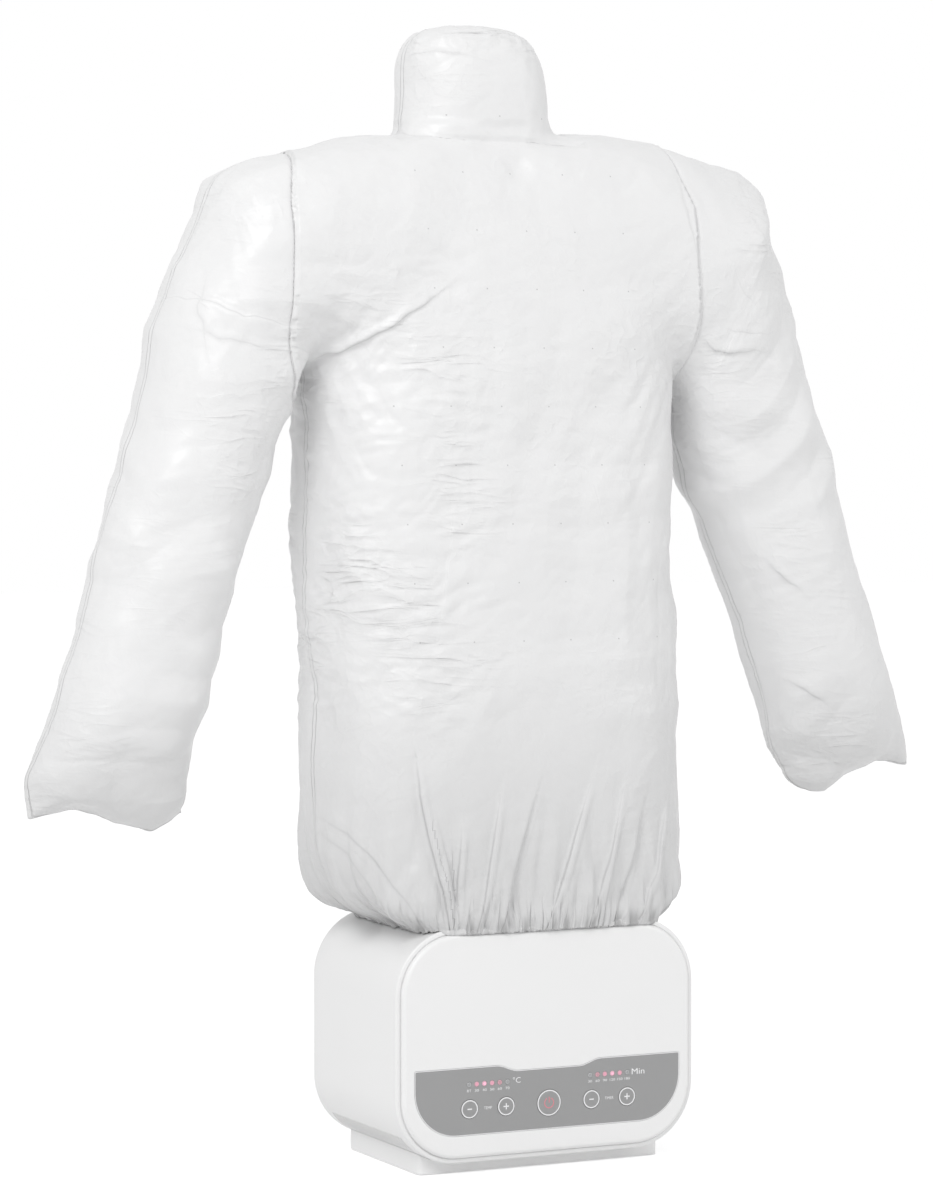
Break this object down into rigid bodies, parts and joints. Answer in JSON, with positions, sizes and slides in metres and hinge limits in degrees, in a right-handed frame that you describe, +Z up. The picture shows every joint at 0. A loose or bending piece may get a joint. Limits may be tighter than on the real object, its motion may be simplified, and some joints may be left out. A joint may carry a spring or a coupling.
{
  "type": "ironing dummy",
  "caption": "Free-standing warm-air ironing dummy: a rounded base unit with a control panel and fan blows up a shirt-shaped air bag with sleeves and a neck.",
  "frame": {"origin": "the middle of the flat underside of the foot plinth; the four rubber pads stand 1 mm below it", "axes": "+Z up, the control panel faces -Y, +X is to the right of someone who faces the panel"},
  "size_m": [0.9814, 0.2405, 1.1353],
  "materials": {
    "white_plastic": "satin white moulded ABS",
    "rubber_pad": "matt grey pad",
    "grey_film": "smooth grey printed film",
    "light_guide": "clear moulding, lit pink",
    "circuit_board": "green lacquer",
    "duct_plastic": "heat-proof moulding",
    "dark_plastic": "black moulding",
    "aluminium": "plain rolled sheet",
    "steel": "zinc plated",
    "lead_sleeve": "silicone-sleeved wire",
    "bag_fabric": "thin, glossy, crinkled white nylon"
  },
  "bodies": {
    "base": {"foot_plinth": "white_plastic", "rubber_foot_1": "rubber_pad", "rubber_foot_2": "rubber_pad", "rubber_foot_3": "rubber_pad", "rubber_foot_4": "rubber_pad", "rear_housing": "white_plastic", "front_cover": "white_plastic", "control_overlay": "grey_film", "temp_light_guide": "light_guide", "timer_light_guide": "light_guide", "control_board": "circuit_board", "power_board": "circuit_board", "outlet_collar": "white_plastic", "outlet_grille": "white_plastic", "outlet_duct": "duct_plastic", "heater_frame": "aluminium", "heater_bar_1": "aluminium", "heater_bar_2": "aluminium", "heater_bar_3": "aluminium", "thermal_cutout": "steel", "fan_frame": "dark_plastic", "fan_motor": "steel", "motor_bracket": "steel", "bracket_screw_left": "steel", "bracket_screw_right": "steel", "mains_inlet": "dark_plastic", "mains_lead": "lead_sleeve", "heater_lead": "lead_sleeve", "cover_screw_1": "steel", "cover_screw_2": "steel", "cover_screw_3": "steel", "cover_screw_4": "steel", "plinth_screw_1": "steel", "plinth_screw_2": "steel", "plinth_screw_3": "steel", "plinth_screw_4": "steel"},
    "fan_rotor": {"fan_wheel": "dark_plastic", "motor_shaft": "steel"},
    "temp_minus": {"temp_minus_key": "grey_film"},
    "temp_plus": {"temp_plus_key": "grey_film"},
    "power": {"power_key": "grey_film"},
    "timer_minus": {"timer_minus_key": "grey_film"},
    "timer_plus": {"timer_plus_key": "grey_film"},
    "air_bag": {"bag_front_panel": "bag_fabric", "bag_back_panel": "bag_fabric", "bag_sleeve_left": "bag_fabric", "bag_sleeve_right": "bag_fabric", "bag_neck": "bag_fabric", "bag_hem_elastic": "bag_fabric"}
  },
  "joints": [
    {"name": "fan_spin", "type": "hinge", "parent": "base", "child": "fan_rotor", "pos_m": [0, 0, 0.1284], "axis": [0, 0, 1], "continuous": true},
    {"name": "temp_minus_press", "type": "slide", "parent": "base", "child": "temp_minus", "axis": [0, 1, 0], "range_m": [0, 0.0005], "stiffness_N_per_m": 600},
    {"name": "temp_plus_press", "type": "slide", "parent": "base", "child": "temp_plus", "axis": [0, 1, 0], "range_m": [0, 0.0005], "stiffness_N_per_m": 600},
    {"name": "power_press", "type": "slide", "parent": "base", "child": "power", "axis": [0, 1, 0], "range_m": [0, 0.0005], "stiffness_N_per_m": 600},
    {"name": "timer_minus_press", "type": "slide", "parent": "base", "child": "timer_minus", "axis": [0, 1, 0], "range_m": [0, 0.0005], "stiffness_N_per_m": 600},
    {"name": "timer_plus_press", "type": "slide", "parent": "base", "child": "timer_plus", "axis": [0, 1, 0], "range_m": [0, 0.0005], "stiffness_N_per_m": 600},
    {"name": "bag_lift", "type": "slide", "parent": "base", "child": "air_bag", "axis": [0, 0, 1], "range_m": [0, 0.08]}
  ]
}
